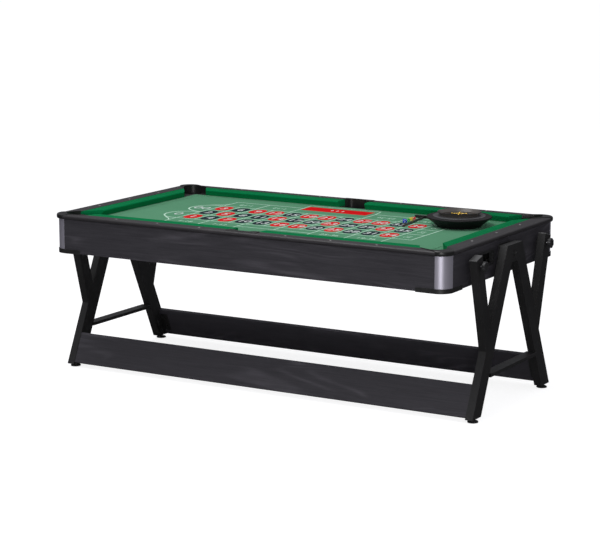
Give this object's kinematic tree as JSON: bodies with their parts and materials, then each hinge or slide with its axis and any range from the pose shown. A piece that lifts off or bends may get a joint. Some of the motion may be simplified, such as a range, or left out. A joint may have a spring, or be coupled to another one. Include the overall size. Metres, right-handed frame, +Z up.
{
  "type": "flip-over games table with roulette layout",
  "caption": "Games table whose pool-and-roulette top turns over in two steel end frames to a hockey side, with loose wheel, chips and rake.",
  "frame": {"origin": "on the floor, under the middle of the table", "axes": "+X along the table length towards the end with the ball outlet, +Y across the table away from the front, +Z up"},
  "size_m": [2.282, 1.18, 0.8363],
  "materials": {
    "powder_coat_black": "satin black powder coat on steel",
    "panel_woodgrain": "charcoal woodgrain laminate on board",
    "bright_zinc": "zinc plated steel",
    "black_plastic": "moulded black plastic, fine texture",
    "nylon_black": "black nylon",
    "silver_plastic": "silver plastic with vertical sheen",
    "rail_laminate": "satin dark grey laminate",
    "pearl": "pearl sight",
    "cushion_cloth": "napped green cloth over rubber",
    "bed_cloth": "pale green napped cloth",
    "mat_print": "pale green cloth with printed betting grid",
    "bed_mdf": "raw fibreboard",
    "softwood": "planed softwood",
    "gully_plastic": "vacuum formed black plastic",
    "hockey_white": "white melamine playing face",
    "hockey_rail": "anodised aluminium",
    "goal_plastic": "black moulded goal",
    "wheel_black": "glossy black moulding",
    "rotor": "glossy rotor with coloured pockets",
    "gold": "polished brass",
    "ball_white": "white ball",
    "chip_blue": "blue moulded chips",
    "chip_green": "green moulded chips",
    "chip_yellow": "yellow moulded chips",
    "chip_red": "red moulded chips",
    "rake_black": "black lacquered wood",
    "knob_black": "black moulded grip on steel thread",
    "pad_rubber": "black rubber"
  },
  "bodies": {
    "stand": {"leg_frame_right": "powder_coat_black", "leg_frame_left": "powder_coat_black", "cross_bars": "powder_coat_black", "stretcher_panel_back": "panel_woodgrain", "stretcher_panel_front": "panel_woodgrain", "panel_brackets": "powder_coat_black", "bracket_bolts": "powder_coat_black", "arm_plugs": "black_plastic", "leg_inserts": "black_plastic", "pivot_bushes": "nylon_black"},
    "table": {"apron_back": "panel_woodgrain", "apron_front": "panel_woodgrain", "apron_right": "panel_woodgrain", "apron_left": "panel_woodgrain", "corner_posts": "silver_plastic", "corner_guards": "black_plastic", "bed_supports": "softwood", "pivot_plates": "powder_coat_black", "pivot_plate_screws": "bright_zinc", "pivot_bolts": "powder_coat_black", "ball_gullies": "gully_plastic", "ball_return_tray": "black_plastic", "bed_board": "bed_mdf", "bed_cloth": "bed_cloth", "layout_mat": "mat_print", "side_rails": "rail_laminate", "end_rails": "rail_laminate", "sights": "pearl", "side_cushions": "cushion_cloth", "end_cushions": "cushion_cloth", "corner_pockets": "black_plastic", "side_pockets": "black_plastic", "hockey_board": "hockey_white", "hockey_rails": "hockey_rail", "hockey_goals": "goal_plastic"},
    "foot_1": {"foot_pad_1": "pad_rubber"},
    "foot_screw_1": {"foot_stud_1": "bright_zinc"},
    "clamp_1": {"clamp_pad_1": "pad_rubber"},
    "clamp_screw_1": {"clamp_knob_1": "knob_black"},
    "foot_2": {"foot_pad_2": "pad_rubber"},
    "foot_screw_2": {"foot_stud_2": "bright_zinc"},
    "clamp_2": {"clamp_pad_2": "pad_rubber"},
    "clamp_screw_2": {"clamp_knob_2": "knob_black"},
    "foot_3": {"foot_pad_3": "pad_rubber"},
    "foot_screw_3": {"foot_stud_3": "bright_zinc"},
    "clamp_3": {"clamp_pad_3": "pad_rubber"},
    "clamp_screw_3": {"clamp_knob_3": "knob_black"},
    "foot_4": {"foot_pad_4": "pad_rubber"},
    "foot_screw_4": {"foot_stud_4": "bright_zinc"},
    "clamp_4": {"clamp_pad_4": "pad_rubber"},
    "clamp_screw_4": {"clamp_knob_4": "knob_black"},
    "wheel": {"wheel_bowl": "wheel_black"},
    "rotor": {"wheel_rotor": "rotor", "wheel_turret": "gold"},
    "ball": {"roulette_ball": "ball_white"},
    "stack_blue": {"chips_blue": "chip_blue"},
    "stack_green": {"chips_green": "chip_green"},
    "stack_yellow": {"chips_yellow": "chip_yellow"},
    "stack_red": {"chips_red": "chip_red"},
    "rake_body": {"rake": "rake_black"}
  },
  "joints": [
    {"name": "table_flip", "type": "hinge", "parent": "stand", "child": "table", "pos_m": [0, 0, 0.71], "axis": [1, 0, 0], "range_deg": [0, 180]},
    {"name": "foot_1_feed", "type": "slide", "parent": "stand", "child": "foot_1", "axis": [0, 0, -1], "range_m": [0, 0.00901]},
    {"name": "foot_1_turn", "type": "hinge", "parent": "foot_1", "child": "foot_screw_1", "pos_m": [1.09535, 0.379, 0.03], "axis": [0, 0, -1], "range_deg": [0, 2162.4]},
    {"name": "clamp_1_feed", "type": "slide", "parent": "stand", "child": "clamp_1", "axis": [-1, 0, 0], "range_m": [0, 0.00886]},
    {"name": "clamp_1_turn", "type": "hinge", "parent": "clamp_1", "child": "clamp_screw_1", "pos_m": [1.133, 0.358, 0.705], "axis": [-1, 0, 0], "range_deg": [0, 2126.4]},
    {"name": "foot_2_feed", "type": "slide", "parent": "stand", "child": "foot_2", "axis": [0, 0, -1], "range_m": [0, 0.00901]},
    {"name": "foot_2_turn", "type": "hinge", "parent": "foot_2", "child": "foot_screw_2", "pos_m": [1.09535, -0.379, 0.03], "axis": [0, 0, -1], "range_deg": [0, 2162.4]},
    {"name": "clamp_2_feed", "type": "slide", "parent": "stand", "child": "clamp_2", "axis": [-1, 0, 0], "range_m": [0, 0.00886]},
    {"name": "clamp_2_turn", "type": "hinge", "parent": "clamp_2", "child": "clamp_screw_2", "pos_m": [1.133, -0.358, 0.705], "axis": [-1, 0, 0], "range_deg": [0, 2126.4]},
    {"name": "foot_3_feed", "type": "slide", "parent": "stand", "child": "foot_3", "axis": [0, 0, -1], "range_m": [0, 0.00901]},
    {"name": "foot_3_turn", "type": "hinge", "parent": "foot_3", "child": "foot_screw_3", "pos_m": [-1.09535, 0.379, 0.03], "axis": [0, 0, -1], "range_deg": [0, 2162.4]},
    {"name": "clamp_3_feed", "type": "slide", "parent": "stand", "child": "clamp_3", "axis": [1, 0, 0], "range_m": [0, 0.00886]},
    {"name": "clamp_3_turn", "type": "hinge", "parent": "clamp_3", "child": "clamp_screw_3", "pos_m": [-1.133, 0.358, 0.705], "axis": [1, 0, 0], "range_deg": [0, 2126.4]},
    {"name": "foot_4_feed", "type": "slide", "parent": "stand", "child": "foot_4", "axis": [0, 0, -1], "range_m": [0, 0.00901]},
    {"name": "foot_4_turn", "type": "hinge", "parent": "foot_4", "child": "foot_screw_4", "pos_m": [-1.09535, -0.379, 0.03], "axis": [0, 0, -1], "range_deg": [0, 2162.4]},
    {"name": "clamp_4_feed", "type": "slide", "parent": "stand", "child": "clamp_4", "axis": [1, 0, 0], "range_m": [0, 0.00886]},
    {"name": "clamp_4_turn", "type": "hinge", "parent": "clamp_4", "child": "clamp_screw_4", "pos_m": [-1.133, -0.358, 0.705], "axis": [1, 0, 0], "range_deg": [0, 2126.4]},
    {"name": "wheel_lift", "type": "slide", "parent": "table", "child": "wheel", "axis": [0, 0, 1], "range_m": [0, 0.15]},
    {"name": "rotor_spin", "type": "hinge", "parent": "wheel", "child": "rotor", "pos_m": [0.709, 0.25, 0.8], "axis": [0, 0, 1], "continuous": true},
    {"name": "ball_orbit", "type": "hinge", "parent": "wheel", "child": "ball", "pos_m": [0.709, 0.25, 0.8], "axis": [0, 0, 1], "continuous": true},
    {"name": "stack_blue_lift", "type": "slide", "parent": "table", "child": "stack_blue", "axis": [0, 0, 1], "range_m": [0, 0.1]},
    {"name": "stack_green_lift", "type": "slide", "parent": "table", "child": "stack_green", "axis": [0, 0, 1], "range_m": [0, 0.1]},
    {"name": "stack_yellow_lift", "type": "slide", "parent": "table", "child": "stack_yellow", "axis": [0, 0, 1], "range_m": [0, 0.1]},
    {"name": "stack_red_lift", "type": "slide", "parent": "table", "child": "stack_red", "axis": [0, 0, 1], "range_m": [0, 0.1]},
    {"name": "rake_lift", "type": "slide", "parent": "table", "child": "rake_body", "axis": [0, 0, 1], "range_m": [0, 0.1]}
  ],
  "couplings": [
    {"joint": "foot_1_turn", "follows": "foot_1_feed", "rad_per_m": 4188.8},
    {"joint": "clamp_1_turn", "follows": "clamp_1_feed", "rad_per_m": 4188.8},
    {"joint": "foot_2_turn", "follows": "foot_2_feed", "rad_per_m": 4188.8},
    {"joint": "clamp_2_turn", "follows": "clamp_2_feed", "rad_per_m": 4188.8},
    {"joint": "foot_3_turn", "follows": "foot_3_feed", "rad_per_m": 4188.8},
    {"joint": "clamp_3_turn", "follows": "clamp_3_feed", "rad_per_m": 4188.8},
    {"joint": "foot_4_turn", "follows": "foot_4_feed", "rad_per_m": 4188.8},
    {"joint": "clamp_4_turn", "follows": "clamp_4_feed", "rad_per_m": 4188.8}
  ]
}
